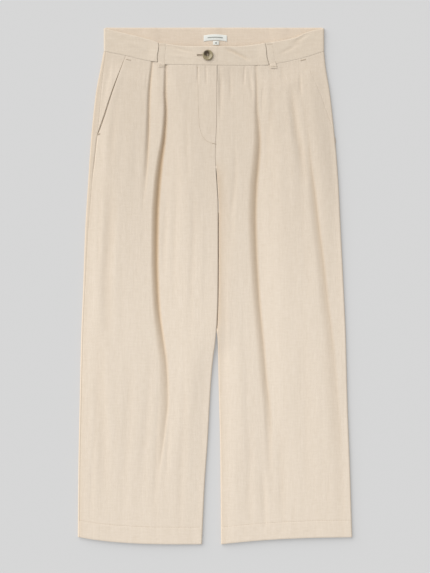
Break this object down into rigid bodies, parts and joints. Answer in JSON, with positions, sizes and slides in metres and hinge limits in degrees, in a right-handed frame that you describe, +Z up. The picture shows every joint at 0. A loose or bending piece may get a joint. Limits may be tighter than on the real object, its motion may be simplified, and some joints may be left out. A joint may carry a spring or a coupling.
{
  "type": "culottes",
  "caption": "Wide-leg cropped culottes laid flat, with pleated front, slant pockets, belt loops, buttoned waistband and zip fly.",
  "frame": {"origin": "middle of the base of the laid-out garment, on the surface it rests on", "axes": "+Y towards the waist, -Y towards the hems, +X towards the wearer's left leg, +Z up from the back panels to the front panels"},
  "size_m": [0.4798, 0.9024, 0.0127],
  "materials": {
    "cloth": "matte ecru cotton and linen plain weave, softly crinkled",
    "button_horn": "mottled horn-effect button, semi-gloss",
    "label_weave": "ivory woven satin label, left blank",
    "zip_tape": "plain woven zip tape, hidden"
  },
  "bodies": {
    "root": {"back_left": "cloth", "back_right": "cloth", "belt_loop_back_centre": "cloth", "belt_loop_back_left": "cloth", "belt_loop_back_right": "cloth", "belt_loop_front_left": "cloth", "belt_loop_front_right": "cloth", "button": "button_horn", "fly_zip": "zip_tape", "front_left": "cloth", "front_right": "cloth", "hip_left": "cloth", "hip_right": "cloth", "label": "label_weave", "size_tab": "label_weave", "waistband_back": "cloth", "waistband_left": "cloth", "waistband_right": "cloth"}
  },
  "joints": []
}
